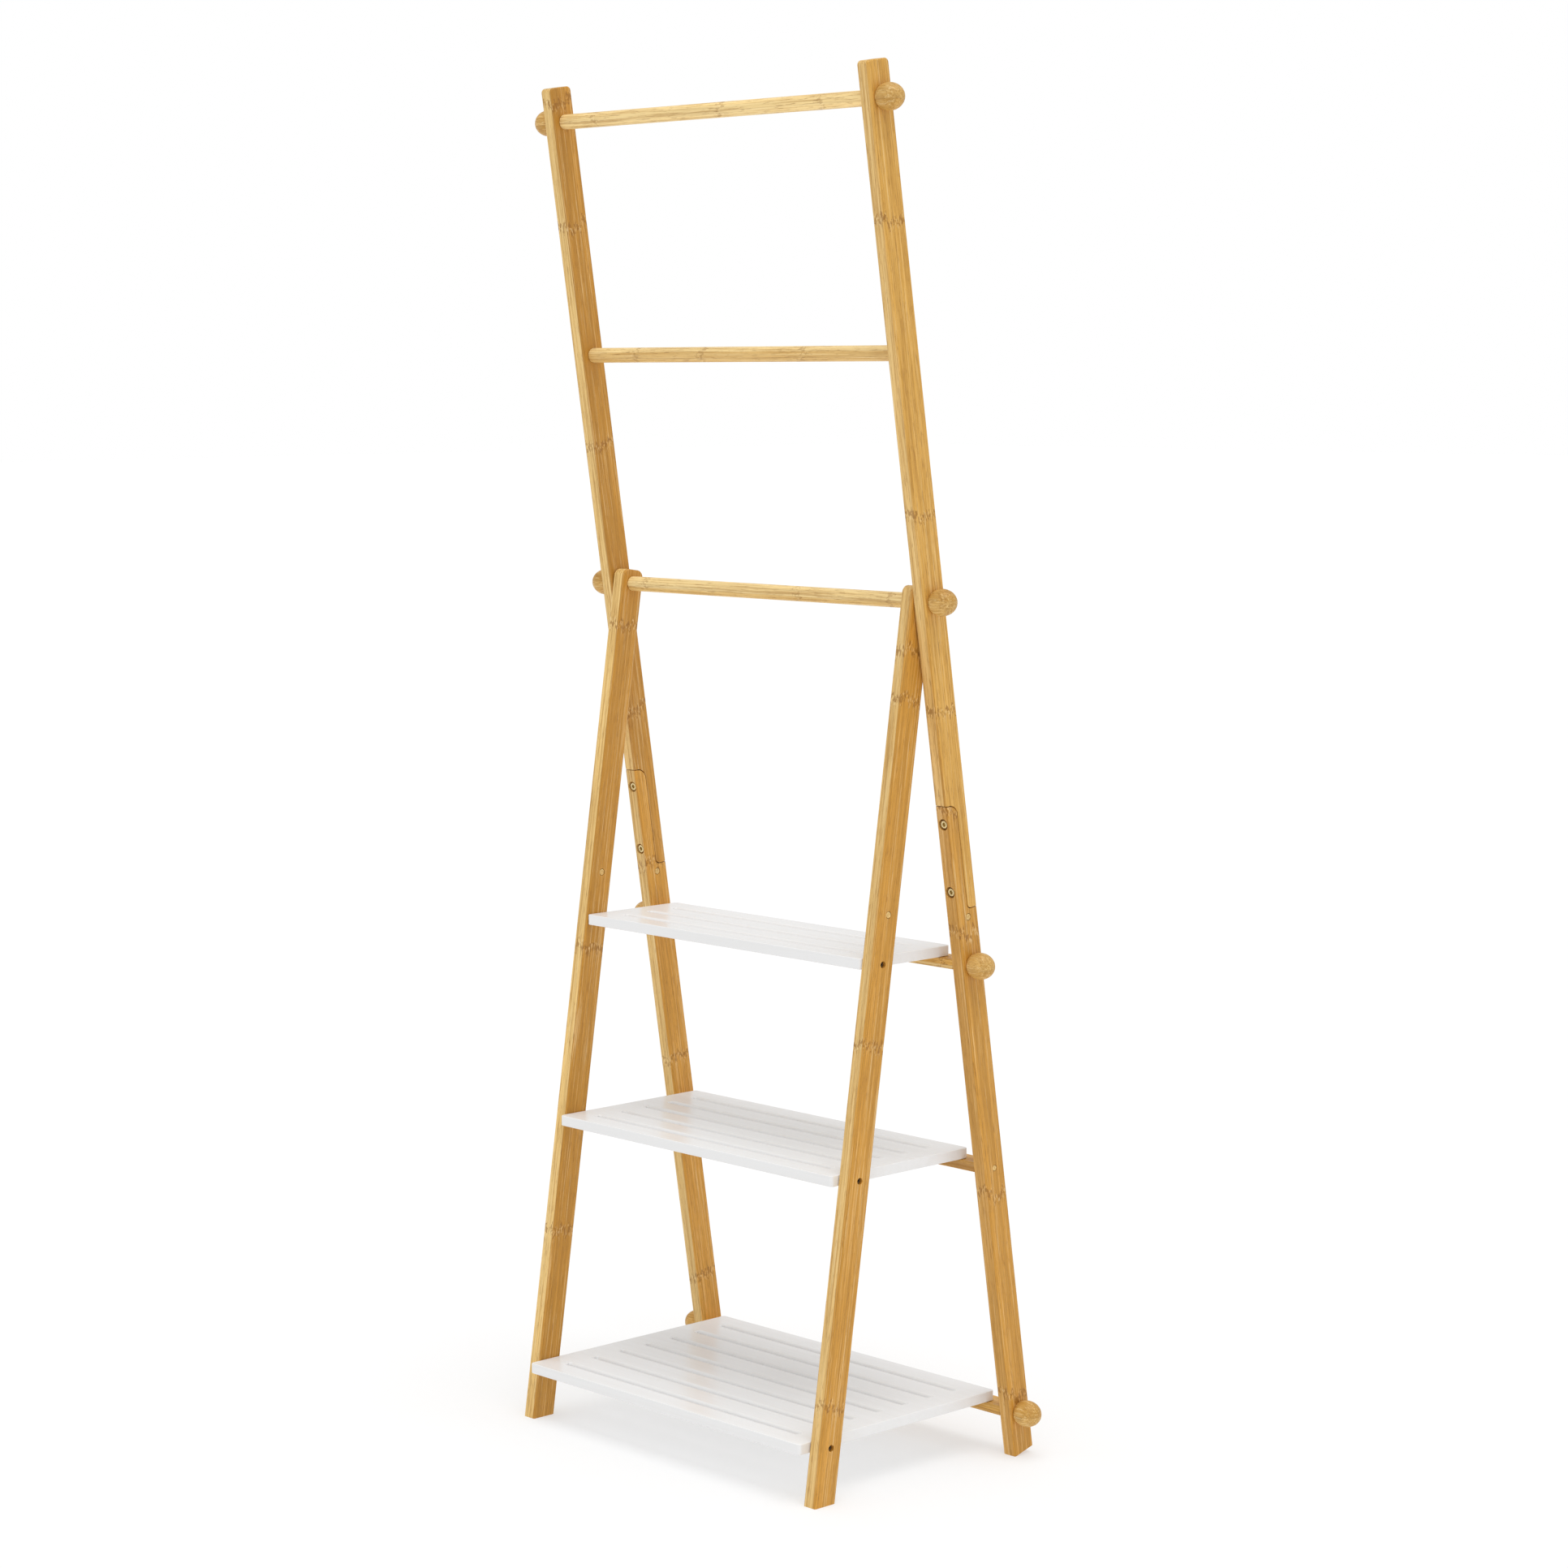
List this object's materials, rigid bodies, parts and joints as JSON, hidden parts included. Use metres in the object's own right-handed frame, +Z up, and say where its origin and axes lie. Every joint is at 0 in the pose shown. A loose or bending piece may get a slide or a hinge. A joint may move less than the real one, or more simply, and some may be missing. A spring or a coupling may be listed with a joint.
{
  "type": "towel rack",
  "caption": "Free-standing folding A-frame towel rack in bamboo, with round hanging rails above and slotted white shelves below.",
  "frame": {"origin": "on the floor, in the middle of the rack's outline, with the frame open", "axes": "+Z up, +Y to the rear, +X to the right as seen from the front"},
  "size_m": [0.586, 0.3294, 1.54],
  "materials": {
    "bamboo": "satin clear-coated bamboo",
    "pale_bamboo": "satin clear-coated bamboo, paler",
    "white_lacquer": "glossy white lacquer on board",
    "zinc_steel": "zinc-plated",
    "dark_steel": "dark bronze",
    "nylon": "natural"
  },
  "bodies": {
    "rear_frame": {"upright_upper_left": "bamboo", "upright_upper_right": "bamboo", "upright_lower_left": "bamboo", "upright_lower_right": "bamboo", "top_bar": "pale_bamboo", "middle_bar": "pale_bamboo", "pivot_bar": "pale_bamboo", "rail_top": "bamboo", "rail_middle": "bamboo", "rail_bottom": "bamboo", "knob_top_bar_left": "bamboo", "knob_top_bar_right": "bamboo", "knob_pivot_bar_left": "bamboo", "knob_pivot_bar_right": "bamboo", "knob_top_rail_left": "bamboo", "knob_top_rail_right": "bamboo", "knob_bottom_rail_left": "bamboo", "knob_bottom_rail_right": "bamboo", "stud_top_bar_left": "dark_steel", "stud_top_bar_right": "dark_steel", "stud_pivot_bar_left": "dark_steel", "stud_pivot_bar_right": "dark_steel", "stud_top_rail_left": "dark_steel", "stud_top_rail_right": "dark_steel", "stud_bottom_rail_left": "dark_steel", "stud_bottom_rail_right": "dark_steel", "lap_bolt_upper_left": "zinc_steel", "lap_bolt_upper_right": "zinc_steel", "lap_bolt_lower_left": "zinc_steel", "lap_bolt_lower_right": "zinc_steel", "lap_insert_upper_left": "zinc_steel", "lap_insert_upper_right": "zinc_steel", "lap_insert_lower_left": "zinc_steel", "lap_insert_lower_right": "zinc_steel", "rail_dowel_left": "pale_bamboo", "rail_dowel_right": "pale_bamboo", "upright_plug_left": "pale_bamboo", "upright_plug_right": "pale_bamboo"},
    "front_frame": {"front_leg_left": "bamboo", "front_leg_right": "bamboo", "front_leg_plug_left": "pale_bamboo", "front_leg_plug_right": "pale_bamboo", "shelf_bolt_top_left": "dark_steel", "shelf_bolt_top_right": "dark_steel", "shelf_bolt_middle_left": "dark_steel", "shelf_bolt_middle_right": "dark_steel", "shelf_bolt_bottom_left": "dark_steel", "shelf_bolt_bottom_right": "dark_steel", "pivot_washer_left": "nylon", "pivot_washer_right": "nylon"},
    "top_board": {"shelf_top": "white_lacquer"},
    "middle_board": {"shelf_middle": "white_lacquer"},
    "bottom_board": {"shelf_bottom": "white_lacquer"}
  },
  "joints": [
    {"name": "frame_fold", "type": "hinge", "parent": "rear_frame", "child": "front_frame", "pos_m": [0, 0.00325, 0.97], "axis": [1, 0, 0], "range_deg": [0, 12.5]},
    {"name": "top_shelf_lift", "type": "hinge", "parent": "front_frame", "child": "top_board", "pos_m": [0, -0.05591, 0.581], "axis": [1, 0, 0], "range_deg": [0, 81.5]},
    {"name": "middle_shelf_lift", "type": "hinge", "parent": "front_frame", "child": "middle_board", "pos_m": [0, -0.0912, 0.349], "axis": [1, 0, 0], "range_deg": [0, 81.5]},
    {"name": "bottom_shelf_lift", "type": "hinge", "parent": "front_frame", "child": "bottom_board", "pos_m": [0, -0.13478, 0.0625], "axis": [1, 0, 0], "range_deg": [0, 78]}
  ],
  "couplings": [
    {"joint": "top_shelf_lift", "follows": "frame_fold", "ratio": 6.48},
    {"joint": "middle_shelf_lift", "follows": "frame_fold", "ratio": 6.48},
    {"joint": "bottom_shelf_lift", "follows": "frame_fold", "ratio": 6.2}
  ]
}
